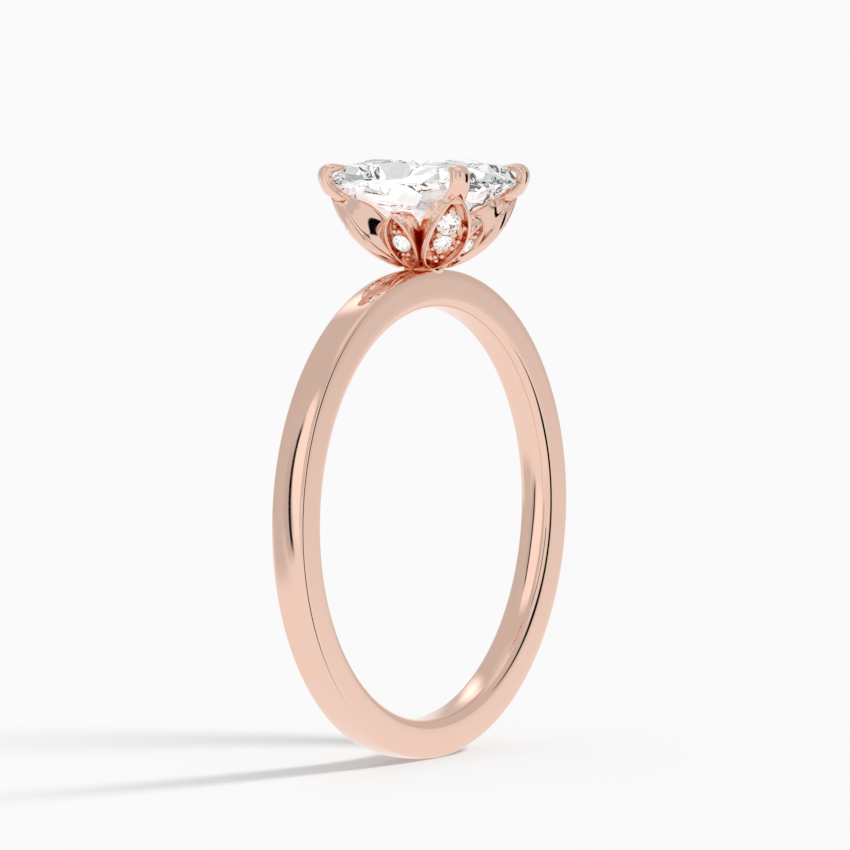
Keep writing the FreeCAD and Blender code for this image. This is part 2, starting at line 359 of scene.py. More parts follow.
def make_collar():
    """Low domed button with a short tapered stem, its underside inside the shank."""
    round_off = (COLLAR_TOP - COLLAR_BOTTOM) / 2
    profile = arc_points((COLLAR_RADIUS - round_off, COLLAR_BOTTOM + round_off), round_off, -90, 90, 24)
    profile += [(STEM_RADIUS, COLLAR_TOP), (STEM_RADIUS - 0.03, COLLAR_TOP + 0.06)]
    profile += [(STEM_TIP_RADIUS, STEM_TOP - 0.05), (STEM_TIP_RADIUS - 0.05, STEM_TOP)]
    verts = []
    for i in range(COLLAR_TURNS):
        angle = 2 * math.pi * i / COLLAR_TURNS
        for out, height in profile:
            verts.append((out * math.cos(angle), out * math.sin(angle), height))
    columns = len(profile)
    faces = grid_faces(COLLAR_TURNS, columns, wrap_rows=True, wrap_columns=False)
    bottom = len(verts)
    verts += [(0, 0, COLLAR_BOTTOM), (0, 0, STEM_TOP)]
    for i in range(COLLAR_TURNS):
        j = (i + 1) % COLLAR_TURNS
        faces.append((i * columns, j * columns, bottom))
        faces.append((j * columns + columns - 1, i * columns + columns - 1, bottom + 1))
    piece = add_mesh("head_collar_button", verts, faces, HEAD_GOLD)
    clean_normals(piece)
    finish_piece(piece, "head_collar", "rose_gold_head")


# ---------------------------------------------------------------- gems

def outline_support(angle, half_x, half_y, power):
    """Point where a superellipse meets its tangent line with the given normal."""
    nx = math.cos(angle)
    ny = math.sin(angle)
    dual = power / (power - 1)
    scale = ((half_x * abs(nx)) ** dual + (half_y * abs(ny)) ** dual) ** (1 / dual)
    x = math.copysign(half_x * (half_x * abs(nx) / scale) ** (dual - 1), nx)
    y = math.copysign(half_y * (half_y * abs(ny) / scale) ** (dual - 1), ny)
    return x, y


def slice_gem(work, point, normal):
    """Cut away what lies outside the plane, and close the cut with one facet."""
    geometry = work.verts[:] + work.edges[:] + work.faces[:]
    cut = bmesh.ops.bisect_plane(work, geom=geometry, dist=1e-9, plane_co=point, plane_no=normal,
                                 clear_outer=True, clear_inner=False)
    rim = [e for e in cut["geom_cut"] if isinstance(e, bmesh.types.BMEdge)]
    if rim:
        bmesh.ops.contextual_create(work, geom=rim)


def gem_mesh(name, half_x, half_y, power, sides, tiers, top, bottom):
    """Facets cut by planes. Millimetres in, metres out, the girdle centred on z = 0.

    tiers: (facet count, phase as a fraction of a step, inset, height, apex). Each facet touches
    the outline, scaled by inset, at that height, and aims at the axis at the height of apex.
    """
    work = bmesh.new()
    bmesh.ops.create_cube(work, size=1)
    reach = 3 * max(half_x, half_y)
    for vert in work.verts:
        vert.co = Vector((vert.co.x * reach, vert.co.y * reach, top if vert.co.z > 0 else bottom))
    for i in range(sides):
        angle = 2 * math.pi * (i + 0.5) / sides
        x, y = outline_support(angle, half_x, half_y, power)
        slice_gem(work, Vector((x, y, 0)), Vector((math.cos(angle), math.sin(angle), 0)))
    for count, phase, inset, height, apex in tiers:
        for i in range(count):
            angle = 2 * math.pi * (i + phase) / count
            x, y = outline_support(angle, half_x, half_y, power)
            distance = (x * math.cos(angle) + y * math.sin(angle)) * inset
            tilt = math.atan2(abs(apex - height), distance)
            normal = Vector((math.cos(angle) * math.sin(tilt), math.sin(angle) * math.sin(tilt),
                             math.copysign(math.cos(tilt), apex - height)))
            slice_gem(work, Vector((x * inset, y * inset, height)), normal)
    for vert in work.verts:
        vert.co *= MM
    return mesh_from(work, name)


def centre_stone_mesh():
    girdle = GIRDLE_THICKNESS / 2
    culet = -girdle - PAVILION_DEPTH
    tiers = [
        (16, 0.5, 1.0, girdle, girdle + 4.9),
        (8, 0.0, 0.93, girdle + 0.32, girdle + 2.9),
        (8, 0.5, 0.74, girdle + 0.66, girdle + 1.30),
        (16, 0.5, 1.0, -girdle, -girdle - 3.9),
        (8, 0.0, 0.97, -girdle - 0.15, -girdle - 2.75),
        (8, 0.5, 0.62, -girdle - 0.98, culet),
    ]
    mesh = gem_mesh("centre_stone_facets", STONE_HALF_X, STONE_HALF_Y, STONE_ROUNDNESS, GIRDLE_SIDES,
                    tiers, girdle + CROWN_HEIGHT, culet)
    mesh.transform(Matrix.Translation((0, 0, GIRDLE_Z * MM)))
    return mesh


def seat_for(stone_mesh):
    """The centre stone, a hair larger all round, to cut its seat in petals and claws."""
    seat = stone_mesh.copy()
    middle = Matrix.Translation((0, 0, GIRDLE_Z * MM))
    seat.transform(middle @ Matrix.Scale(SEAT_SCALE, 4) @ middle.inverted())
    return seat


def make_centre_stone(mesh):
    mesh.materials.append(CLEAR_STONE)
    finish_piece(link_object("centre_stone_cushion", mesh), "centre_stone", "centre_diamond")


def melee_mesh(name, diameter):
    """Round brilliant: table, star, main and girdle facets over a pavilion of two tiers."""
    radius = diameter / 2
    thin = 0.015 * diameter
    tiers = [
        (16, 0.5, 1.0, thin, thin + 0.90 * radius),
        (8, 0.0, 1.0, thin + 0.004, thin + 0.67 * radius),
        (8, 0.5, 0.80, thin + 0.085 * diameter, thin + 0.55 * radius),
        (16, 0.5, 1.0, -thin, -thin - 0.93 * radius),
        (8, 0.0, 1.0, -thin - 0.004, -thin - 0.86 * radius),
    ]
    return gem_mesh(name, radius, radius, 2.0, GIRDLE_SIDES, tiers,
                    MELEE_CROWN * diameter, -MELEE_PAVILION * diameter)


# ---------------------------------------------------------------- petals

class Arc:
    """The petal's outer edge in its radial plane, bowed away from the chord by bulge.

    A fraction is a place along it, from 0 at the foot to 1 at the tip.
    """

    def __init__(self, foot, tip, bulge):
        chord = math.hypot(tip[0] - foot[0], tip[1] - foot[1])
        self.radius = chord ** 2 / (8 * bulge) + bulge / 2
        out = ((tip[1] - foot[1]) / chord, -(tip[0] - foot[0]) / chord)
        middle = ((foot[0] + tip[0]) / 2, (foot[1] + tip[1]) / 2)
        drop = self.radius - bulge
        self.centre = (middle[0] - out[0] * drop, middle[1] - out[1] * drop)
        self.start = math.atan2(foot[1] - self.centre[1], foot[0] - self.centre[0])
        self.end = math.atan2(tip[1] - self.centre[1], tip[0] - self.centre[0])

    def at(self, fraction, depth=0.0, offset=0.0):
        """The point that lies depth below the edge, and offset sideways."""
        angle = self.start + (self.end - self.start) * fraction
        reach = self.radius - depth
        x = self.centre[0] + reach * math.cos(angle)
        z = self.centre[1] + reach * math.sin(angle)
        return Vector((x, offset, z))

    def normal(self, fraction):
        angle = self.start + (self.end - self.start) * fraction
        return Vector((math.cos(angle), 0, math.sin(angle)))


def catmull(p0, p1, p2, p3, t):
    return 0.5 * (2 * p1 + (p2 - p0) * t + (2 * p0 - 5 * p1 + 4 * p2 - p3) * t ** 2
                  + (3 * p1 - p0 - 3 * p2 + p3) * t ** 3)


def through(points, fraction):
    """Smooth curve through evenly spaced points, fraction from 0 to 1."""
    last = len(points) - 1
    place = min(max(fraction, 0.0), 1.0) * last
    i = min(int(place), last - 1)
    quad = [points[min(max(k, 0), last)] for k in (i - 1, i, i + 1, i + 2)]
    return [catmull(a, b, c, d, place - i) for a, b, c, d in zip(*quad)]


def lens(fraction, low=0.0, high=1.0, foot_power=0.60, tip_power=0.74):
    """Marquise half width, 0 at both ends and 1 in the middle, blunter at the foot."""
    t = (fraction - low) / (high - low)
    if t <= 0 or t >= 1:
        return 0.0
    power = foot_power if t < 0.5 else tip_power
    return (4 * t * (1 - t)) ** power


def smoothstep(edge0, edge1, x):
    t = min(1.0, max(0.0, (x - edge0) / (edge1 - edge0)))
    return t * t * (3 - 2 * t)


def petal_section(fraction, depth, shape):
    """Half outline of the petal across its width, from the panel's middle to the back's middle.

    Each point is (sideways, depth below the outer edge). The panel closes up where the leaf gets
    too narrow for it, and no part of the outline shrinks to nothing at the leaf's ends.
    """
    front = shape["half_width"] * lens(fraction) + 0.012
    back = shape["back_width"] * lens(fraction, shape["back_low"], shape["back_high"]) + 0.02
    panel = shape["half_width"] * lens(fraction) - RIM_WIDTH
    openness = smoothstep(0.0, 0.10, panel)
    panel = max(panel, 0.004)
    floor = PANEL_DEPTH * openness
    rim = front - panel
    step = shape["step"] * openness
    waist = front - step + (back - front) * 0.35 + shape["pillow"]
    hip = front - step + (back - front) * 0.85 + shape["pillow"] * 0.8
    return [
        (0.0, floor),
        (panel * 0.5, floor),
        (panel * 0.92, floor),
        (panel, floor * 0.95),
        (panel + rim * 0.08, 0.035 * openness),
        (panel + rim * 0.30, 0.006),
        (panel + rim * 0.64, 0.0),
        (front - rim * 0.06, 0.032),
        (front + 0.010, 0.08),
        (front + 0.006, PLATE_DEPTH * 0.85),
        (front - step * 0.4, PLATE_DEPTH),
        (front - step, PLATE_DEPTH + 0.04),
        (waist, PLATE_DEPTH + (depth - PLATE_DEPTH) * 0.30),
        (hip, PLATE_DEPTH + (depth - PLATE_DEPTH) * 0.72),
        (back, depth * 0.93),
        (back * 0.92, depth * 0.985),
        (back * 0.5, depth * 1.0),
        (0.0, depth * 1.0),
    ]


def swung(point, fraction, twist):
    """A point of the petal turned about the ring's upright axis: fully at the foot, not at the tip."""
    return turn_about_z(-twist * (1 - fraction), 3) @ point


def hand(twist):
    """1, or -1 for the petals that are mirror images."""
    return math.copysign(1, twist)


def petal_cage(shape, twist):
    """The petal's points and faces, before they are smoothed."""
    arc = shape["arc"]
    stations = shape["stations"]
    verts = []
    columns = 0
    for fraction in stations:
        outer = arc.at(fraction)
        back_x, back_z = through(shape["back"], fraction)
        inward = Vector((back_x, 0, back_z)) - outer
        depth = inward.length
        inward.normalize()
        half = petal_section(fraction, depth, shape)
        mirrored = [(-sideways, below) for sideways, below in half[-2:0:-1]]
        ring = half + mirrored
        columns = len(ring)
        for sideways, below in ring:
            verts.append(swung(outer + inward * below + Vector((0, sideways, 0)), fraction, twist))
    faces = grid_faces(len(stations), columns)
    close_ends(verts, faces, len(stations), columns)
    return verts, faces


def carve(piece, cutter_mesh):
    """Cut the cutter out of the piece and keep the result as its mesh."""
    cutter = link_object("cutter", cutter_mesh)
    modifier = piece.modifiers.new("cut", "BOOLEAN")
    modifier.operation = "DIFFERENCE"
    modifier.solver = "EXACT"
    modifier.object = cutter
    graph = bpy.context.evaluated_depsgraph_get()
    swap_mesh(piece, bpy.data.meshes.new_from_object(piece.evaluated_get(graph)))
    bpy.data.objects.remove(cutter)


def set_in_panel(shape, stone, twist):
    """Where a melee stone sits: from its own frame, table up, to the petal's, in millimetres."""
    fraction, sideways, _ = stone
    arc = shape["arc"]
    tilt = Vector((0, 0, 1)).rotation_difference(arc.normal(fraction)).to_matrix().to_4x4()
    swing = turn_about_z(-twist * (1 - fraction))
    return swing @ Matrix.Translation(arc.at(fraction, MELEE_DEPTH, sideways * hand(twist))) @ tilt


def move_to_panel(gem, shape, stone, twist):
    """Move a cut stone's mesh, which is in metres, to its place in the petal's frame."""
    gem.transform(Matrix.Scale(1 / MM, 4))
    gem.transform(set_in_panel(shape, stone, twist))
    gem.transform(Matrix.Scale(MM, 4))


def seat_cutter(shape, stone, twist):
    """Drilled seat: a cone under the girdle, open above it, with a hair of clearance."""
    diameter = stone[2]
    radius = diameter / 2 + SEAT_CLEARANCE
    profile = [(0.0, -SEAT_DEPTH * diameter), (radius, 0.0), (radius, SEAT_OPENING), (0.0, SEAT_OPENING)]
    work = bmesh.new()
    rings = []
    for out, height in profile:
        ring = []
        for j in range(SEAT_TURNS if out else 1):
            angle = 2 * math.pi * j / SEAT_TURNS
            ring.append(work.verts.new((out * math.cos(angle), out * math.sin(angle), height)))
        rings.append(ring)
    foot, girdle, mouth, lid = rings
    for j in range(SEAT_TURNS):
        k = (j + 1) % SEAT_TURNS
        work.faces.new((foot[0], girdle[k], girdle[j]))
        work.faces.new((girdle[j], girdle[k], mouth[k], mouth[j]))
        work.faces.new((mouth[j], mouth[k], lid[0]))
    mesh = mesh_from(work, "seat")
    mesh.transform(set_in_panel(shape, stone, twist))
    mesh.transform(Matrix.Scale(MM, 4))
    return mesh


def bead_verts(centre, normal, radius, root, segments=20, rings=12):
    """A raised grain along the panel's normal: a flattened dome above, a root of that length below."""
    tilt = Vector((0, 0, 1)).rotation_difference(normal).to_matrix()
    squash = random.uniform(*BEAD_SQUASH)
    verts = []
    for i in range(rings + 1):
        polar = math.pi * i / rings
        for j in range(segments):
            angle = 2 * math.pi * j / segments
            height = math.cos(polar) * (radius * squash if polar < math.pi / 2 else root)
            local = Vector((radius * math.sin(polar) * math.cos(angle),
                            radius * math.sin(polar) * math.sin(angle), height))
            verts.append(centre + tilt @ local)
    return verts, grid_faces(rings + 1, segments)


def make_beads(shape, twist):
    """All of a petal's beads, shaved where they lean over a stone so that none is inside it."""
    grains = bmesh.new()
    for fraction, sideways, radius in shape["beads"]:
        size = radius * random.uniform(*BEAD_SPREAD)
        below = BEAD_TOP_DEPTH + size * BEAD_HEIGHT
        centre = swung(shape["arc"].at(fraction, below, sideways * hand(twist)), fraction, twist)
        normal = swung(shape["arc"].normal(fraction), fraction, twist)
        points, quads = bead_verts(centre, normal, size, PANEL_DEPTH + BEAD_ROOT - below)
        made = [grains.verts.new(p * MM) for p in points]
        for quad in quads:
            face = grains.faces.new([made[k] for k in quad])
            face.smooth = True
    bmesh.ops.remove_doubles(grains, verts=grains.verts, dist=1e-8)
    mesh = mesh_from(grains, "grains")
    mesh.materials.append(HEAD_GOLD)
    piece = link_object("grains", mesh)
    for stone in shape["stones"]:
        shaver = melee_mesh("shaver", stone[2] * BEAD_CLEARANCE)
        move_to_panel(shaver, shape, stone, twist)
        carve(piece, shaver)
    return piece


def join_mesh(piece, other):
    """Add the other piece's mesh to this one, and remove the other piece."""
    work = bmesh.new()
    work.from_mesh(piece.data)
    work.from_mesh(other.data)
    work.to_mesh(piece.data)
    work.free()
    bpy.data.objects.remove(other)


def finish_setting(piece, node, azimuth, seat_mesh):
    """Turn a petal or claw to its azimuth, and cut the centre stone's seat out of it."""
    piece.data.transform(turn_about_z(azimuth))
    carve(piece, seat_mesh.copy())
    piece.data.set_sharp_from_angle(angle=math.radians(SHARP_ANGLE))
    finish_piece(piece, node, "rose_gold_head")


def make_petal(name, node, shape, azimuth, twist, seat_mesh):
    verts, faces = petal_cage(shape, twist)
    piece = add_mesh(name, verts, faces, HEAD_GOLD)
    clean_normals(piece)
    apply_subdivision(piece, 2)
    for stone in shape["stones"]:
        carve(piece, seat_cutter(shape, stone, twist))
    join_mesh(piece, make_beads(shape, twist))
    finish_setting(piece, node, azimuth, seat_mesh)


def make_melee(name, node, cut_mesh, shape, place, azimuth, twist, spin):
    """Copy of the cut stone, set with its table facing out of the panel and turned by spin."""
    gem = cut_mesh.copy()
    gem.transform(turn_about_z(spin))
    move_to_panel(gem, shape, shape["stones"][place], twist)
    gem.transform(turn_about_z(azimuth))
    gem.materials.append(MELEE_STONE)
    finish_piece(link_object(name, gem), node, "melee_diamond")


# ---------------------------------------------------------------- claws

CLAW_STATIONS = [
    # distance from the axis, height, lean from vertical in degrees, radial and tangential half size
    (3.31, 12.50, 10, 0.20, 0.23),
    (3.30, 12.53, 10, 0.32, 0.37),
    (3.31, 12.60, 10, 0.375, 0.45),
    (3.37, 12.72, 9, 0.375, 0.455),
    (3.61, 12.90, 14, 0.35, 0.435),
    (3.82, 13.12, 12, 0.295, 0.42),
    (3.94, 13.35, 5, 0.285, 0.415),
    (3.96, 13.55, -6, 0.295, 0.415),
    (3.92, 13.70, -28, 0.290, 0.41),
    (3.80, 13.82, -52, 0.240, 0.40),
    (3.60, 13.87, -70, 0.185, 0.37),
    (3.38, 13.885, -78, 0.130, 0.30),
    (3.20, 13.89, -84, 0.085, 0.20),
    (3.11, 13.895, -86, 0.030, 0.08),
]

CLAW_STEPS = 5                  # rings from one station to the next
CLAW_SEGMENTS = 40

# The notch in the front of each claw's foot: heights, half width, and distances from the axis
NOTCH_TOP = 12.91
NOTCH_BOTTOM = 12.40
NOTCH_HALF = 0.52
NOTCH_FLOOR = 3.64
NOTCH_OUTSIDE = 4.5


def claw_rings():
    """Claw stations, smoothly interpolated."""
    spans = (len(CLAW_STATIONS) - 1) * CLAW_STEPS
    return [through(CLAW_STATIONS, i / spans) for i in range(spans + 1)]


def notch_mesh():
    """Vee in the front of a claw's foot, with room for the tip of the leaf below it."""
    outline = [(0.0, NOTCH_TOP), (NOTCH_HALF, NOTCH_BOTTOM), (-NOTCH_HALF, NOTCH_BOTTOM)]
    work = bmesh.new()
    corners = [work.verts.new(Vector((x, y, z)) * MM) for x in (NOTCH_FLOOR, NOTCH_OUTSIDE)
               for y, z in outline]
    for face in ((0, 1, 2), (5, 4, 3), (0, 3, 4, 1), (1, 4, 5, 2), (2, 5, 3, 0)):
        work.faces.new([corners[k] for k in face])
    return mesh_from(work, "notch")


def make_claw(name, node, azimuth, seat_mesh):
    rings = claw_rings()
    verts = []
    for distance, height, lean, radial, tangential in rings:
        across = Vector((math.cos(math.radians(lean)), 0, -math.sin(math.radians(lean))))
        centre = Vector((distance, 0, height))
        for j in range(CLAW_SEGMENTS):
            angle = 2 * math.pi * j / CLAW_SEGMENTS
            verts.append(centre + across * (radial * math.cos(angle))
                         + Vector((0, tangential * math.sin(angle), 0)))
    faces = grid_faces(len(rings), CLAW_SEGMENTS)
    close_ends(verts, faces, len(rings), CLAW_SEGMENTS)
    piece = add_mesh(name, verts, faces, CLAW_GOLD)
    clean_normals(piece)
    carve(piece, notch_mesh())
    finish_setting(piece, node, azimuth, seat_mesh)


# ---------------------------------------------------------------- assembly

def even_stations(count, extra=()):
    base = [i / count for i in range(count + 1)]
    return sorted(set(base) | set(extra))


# A petal's shape. The arc is its outer edge, and the back is its inner surface from foot to tip,
# both as (distance from the axis, height). At back_low and back_high, as fractions, the back's
# width would come down to nothing. Step is how far the body is set in behind the leaf, and pillow
# how far its flanks swell. Stones are (fraction, sideways, diameter), and beads are (fraction,
# sideways, radius).
CORNER_SHAPE = {
    "arc": Arc((1.05, 9.86), (3.775, 12.82), 0.50),
    "back": [(0.10, 10.00), (0.80, 11.00), (1.46, 11.82), (2.20, 12.44), (2.98, 12.70)],
    "half_width": 0.88,
    "back_width": 0.66,
    "back_low": -0.10,
    "back_high": 1.16,
    "pillow": 0.06,
    "step": 0.07,
    "stations": even_stations(22, (0.01, 0.025, 0.975, 0.99)),
    "stones": [(0.687, -0.12, LARGE_MELEE), (0.445, -0.12, SMALL_MELEE)],
    "beads": [(0.832, -0.08, 0.20), (0.557, 0.22, 0.175), (0.557, -0.40, 0.175), (0.324, -0.12, 0.20),
              (0.232, 0.09, 0.12), (0.222, -0.19, 0.12), (0.150, -0.05, 0.11), (0.368, 0.34, 0.13),
              (0.368, -0.48, 0.10), (0.465, 0.50, 0.11), (0.640, 0.58, 0.10), (0.775, 0.37, 0.09),
              (0.755, -0.50, 0.08)],
}
SIDE_SHAPE = {
    "arc": Arc((0.88, 9.86), (2.40, 11.96), 0.16),
    "back": [(0.08, 10.00), (0.55, 10.80), (1.00, 11.52), (1.48, 12.08), (2.06, 12.18)],
    "half_width": 0.66,
    "back_width": 0.52,
    "back_low": -0.08,
    "back_high": 1.14,
    "pillow": 0.0,
    "step": 0.05,
    "stations": even_stations(18, (0.015, 0.03, 0.97, 0.985)),
    "stones": [(0.49, 0.0, SMALL_MELEE)],
    "beads": [(0.72, 0.11, 0.115), (0.72, -0.11, 0.115), (0.27, 0.11, 0.11), (0.27, -0.11, 0.11),
              (0.185, 0.0, 0.075), (0.83, 0.0, 0.07)],
}
END_SHAPE = dict(SIDE_SHAPE)
END_SHAPE["arc"] = Arc((1.09, 9.86), (2.84, 11.67), 0.16)
END_SHAPE["back"] = [(0.08, 10.00), (0.70, 10.75), (1.35, 11.45), (1.95, 11.98), (2.52, 12.02)]

make_shank()
make_collar()
stone_mesh = centre_stone_mesh()
stone_seat = seat_for(stone_mesh)
make_centre_stone(stone_mesh)
large_cut = melee_mesh("large_melee_facets", LARGE_MELEE)
small_cut = melee_mesh("small_melee_facets", SMALL_MELEE)
corner_turns = {                # sense of the corner's turn, and the half turn it starts from
    "front_left": (1, 0),
    "back_left": (-1, 180),
    "back_right": (1, 180),
    "front_right": (-1, 0),
}
for corner, (sense, half_turn) in corner_turns.items():
    turn = half_turn + sense * CORNER_AZIMUTH
    twist = sense * FOOT_SWING
    make_petal(f"corner_petal_{corner}_leaf", f"corner_petal_{corner}", CORNER_SHAPE, turn, twist,
               stone_seat)
    make_claw(f"claw_{corner}", f"claw_prong_{corner}", turn, stone_seat)
    make_melee(f"upper_gem_{corner}", f"upper_melee_{corner}", large_cut, CORNER_SHAPE, 0, turn,
               twist, spin=5)
    make_melee(f"lower_gem_{corner}", f"lower_melee_{corner}", small_cut, CORNER_SHAPE, 1, turn,
               twist, spin=12)
side_azimuths = {"front": 0, "left": 90, "back": 180, "right": 270}
for side, turn in side_azimuths.items():
    outline = SIDE_SHAPE if side in ("front", "back") else END_SHAPE
    make_petal(f"side_petal_{side}_leaf", f"side_petal_{side}", outline, turn, 0, stone_seat)
    make_melee(f"side_gem_{side}", f"side_melee_{side}", small_cut, outline, 0, turn, 0, spin=9)


# ---------------------------------------------------------------- floor, surroundings and lights

STUDIO_WHITE = 0.955
GEM_CONTRAST = 1.36             # light that has crossed a stone comes from the same room, harsher:
GEM_LIFT = -0.20                # its level times the contrast, plus the lift, and never below 0

# The floor, millimetres, apart from the fade
FLOOR_ALBEDO = 0.70
FLOOR_HALF = 6000
FLOOR_GAP = 0.002               # the ring stands this far above it
FLOOR_FADE = (0.002, 0.030)     # metres from the origin over which it turns to plain white

# The key light, aimed at where the ring stands: degrees, millimetres
KEY_AZIMUTH = 143.6
KEY_ELEVATION = 36.7
KEY_DISTANCE = 33
KEY_SIZE = 9.0
KEY_GAIN = 15800.0              # brings the lit floor up to studio white
KEY_FALLOFF = 4.0               # power of the distance that its strength is multiplied by

# The camera: degrees, millimetres, and how far right and up of the origin its axis passes
CAMERA_AZIMUTH = 33.05
CAMERA_ELEVATION = 3.57
CAMERA_DISTANCE = 232.7
CAMERA_RIGHT = 0.036
CAMERA_UP = 3.547
LENS = 245.36
SENSOR = 36
CLIP = (0.01, 100)              # metres


def point_at(azimuth, elevation):
    """Unit vector from the origin, angles in degrees."""
    bearing = math.radians(azimuth)
    rise = math.radians(elevation)
    level = math.cos(rise)
    return Vector((level * math.cos(bearing), level * math.sin(bearing), math.sin(rise)))


def make_floor():
    """A pale floor that takes shadows near the ring, and fades to plain white further off."""
    corners = [(-1, -1), (1, -1), (1, 1), (-1, 1)]
    verts = [(x * FLOOR_HALF, y * FLOOR_HALF, FLOOR_Z - FLOOR_GAP) for x, y in corners]
    material, tree, shader = new_material("studio_floor")
    shader.inputs["Base Color"].default_value = (FLOOR_ALBEDO, FLOOR_ALBEDO, FLOOR_ALBEDO, 1)
    shader.inputs["Roughness"].default_value = 1.0
    shader.inputs["Specular IOR Level"].default_value = 0.0
    geometry = tree.nodes.new("ShaderNodeNewGeometry")
    length = tree.nodes.new("ShaderNodeVectorMath")
    length.operation = "LENGTH"
    fade = tree.nodes.new("ShaderNodeMapRange")
    fade.interpolation_type = "SMOOTHSTEP"
    fade.inputs["From Min"].default_value = FLOOR_FADE[0]
    fade.inputs["From Max"].default_value = FLOOR_FADE[1]
    glow = tree.nodes.new("ShaderNodeEmission")
    glow.inputs["Color"].default_value = (STUDIO_WHITE, STUDIO_WHITE, STUDIO_WHITE, 1)
    mix = tree.nodes.new("ShaderNodeMixShader")
    output = tree.nodes["Material Output"]
    tree.links.new(geometry.outputs["Position"], length.inputs[0])
    tree.links.new(length.outputs["Value"], fade.inputs["Value"])
    tree.links.new(fade.outputs["Result"], mix.inputs["Fac"])
    tree.links.new(shader.outputs["BSDF"], mix.inputs[1])
    tree.links.new(glow.outputs["Emission"], mix.inputs[2])
    tree.links.new(mix.outputs["Shader"], output.inputs["Surface"])
    floor = add_mesh("floor", verts, [(0, 1, 2, 3)], material, smooth=False)
    floor.visible_glossy = False
    floor.visible_transmission = False


class Surroundings:
    """What the polished surfaces reflect: a pale floor, a light grey room, bright and dark cards.

    Directions are in the ring's own frame, angles in degrees. The camera itself sees plain white.
    """

    def __init__(self):
        self.world = bpy.data.worlds.new("studio")
        bpy.context.scene.world = self.world
        self.world.use_nodes = True
        self.tree = self.world.node_tree
        self.tree.nodes.clear()
        coords = self.tree.nodes.new("ShaderNodeTexCoord")
        self.direction = coords.outputs["Generated"]
        split = self.tree.nodes.new("ShaderNodeSeparateXYZ")
        self.tree.links.new(self.direction, split.inputs[0])
        self.elevation = self.math("ARCSINE", split.outputs["Z"])
        self.level = None

    def math(self, operation, a, b=None):
        """The operation's output. Each input is a number or another node's output."""
        node = self.tree.nodes.new("ShaderNodeMath")
        node.operation = operation
        for socket, value in zip(node.inputs, (a, b)):
            if value is None:
                continue
            if isinstance(value, (int, float)):
                socket.default_value = value
            else:
                self.tree.links.new(value, socket)
        return node.outputs[0]

    def ramp(self, value, low, high, low_out, high_out):
        """Smooth step of the value, from low_out at low to high_out at high."""
        node = self.tree.nodes.new("ShaderNodeMapRange")
        node.interpolation_type = "SMOOTHSTEP"
        node.inputs["From Min"].default_value = low
        node.inputs["From Max"].default_value = high
        node.inputs["To Min"].default_value = low_out
        node.inputs["To Max"].default_value = high_out
        self.tree.links.new(value, node.inputs["Value"])
        return node.outputs["Result"]

    def band(self, value, centre, half, soft):
        """1 within half of centre, falling to 0 over soft. Degrees in, radians compared."""
        shifted = self.math("ABSOLUTE", self.math("SUBTRACT", value, math.radians(centre)))
        return self.ramp(shifted, math.radians(half), math.radians(half + soft), 1.0, 0.0)

    def horizon(self, low, high, floor_level, room_level):
        self.level = self.ramp(self.elevation, math.radians(low), math.radians(high),
                               floor_level, room_level)

    def card(self, azimuth, elevation, half_width, half_height, soft, brightness, lean=0.0, fall=None):
        """A panel of the given brightness, placed over what is already there.

        lean is how many degrees of azimuth it drifts back for each degree above its middle, and
        fall is the softness of its upper and lower ends, where that differs from the sides'.
        """
        fall = soft if fall is None else fall
        turn = self.tree.nodes.new("ShaderNodeVectorRotate")
        turn.rotation_type = "Z_AXIS"
        turn.inputs["Angle"].default_value = math.radians(-azimuth)
        self.tree.links.new(self.direction, turn.inputs["Vector"])
        split = self.tree.nodes.new("ShaderNodeSeparateXYZ")
        self.tree.links.new(turn.outputs[0], split.inputs[0])
        bearing = self.math("ARCTAN2", split.outputs["Y"], split.outputs["X"])
        if lean:
            rise = self.math("SUBTRACT", self.elevation, math.radians(elevation))
            bearing = self.math("ADD", bearing, self.math("MULTIPLY", rise, lean))
        mask = self.math("MULTIPLY", self.band(bearing, 0, half_width, soft),
                         self.band(self.elevation, elevation, half_height, fall))
        mix = self.tree.nodes.new("ShaderNodeMix")
        mix.data_type = "FLOAT"
        self.tree.links.new(mask, mix.inputs["Factor"])
        self.tree.links.new(self.level, mix.inputs["A"])
        mix.inputs["B"].default_value = brightness
        self.level = mix.outputs["Result"]

    def close(self):
        """Give the world its output: the room, harsher through a stone, and white to the camera."""
        path = self.tree.nodes.new("ShaderNodeLightPath")
        lifted = self.math("ADD", self.math("MULTIPLY", self.level, GEM_CONTRAST), GEM_LIFT)
        lifted = self.math("MAXIMUM", lifted, 0.0)
        through_stone = self.tree.nodes.new("ShaderNodeMix")
        through_stone.data_type = "FLOAT"
        self.tree.links.new(path.outputs["Is Transmission Ray"], through_stone.inputs["Factor"])
        self.tree.links.new(self.level, through_stone.inputs["A"])
        self.tree.links.new(lifted, through_stone.inputs["B"])
        room = self.tree.nodes.new("ShaderNodeBackground")
        self.tree.links.new(through_stone.outputs["Result"], room.inputs["Color"])
        plain = self.tree.nodes.new("ShaderNodeBackground")
        plain.inputs["Color"].default_value = (STUDIO_WHITE, STUDIO_WHITE, STUDIO_WHITE, 1)
        mix = self.tree.nodes.new("ShaderNodeMixShader")
        output = self.tree.nodes.new("ShaderNodeOutputWorld")
        self.tree.links.new(path.outputs["Is Camera Ray"], mix.inputs["Fac"])
        self.tree.links.new(room.outputs[0], mix.inputs[1])
        self.tree.links.new(plain.outputs[0], mix.inputs[2])
        self.tree.links.new(mix.outputs[0], output.inputs["Surface"])


# Later cards lie over earlier ones. The camera stands at azimuth 33, so lower azimuths are on its left.
studio = Surroundings()
studio.horizon(low=-8, high=1, floor_level=0.97, room_level=0.68)
# Behind the ring, broad and pale
studio.card(azimuth=-160, elevation=4, half_width=14, half_height=8, soft=16, brightness=0.94)
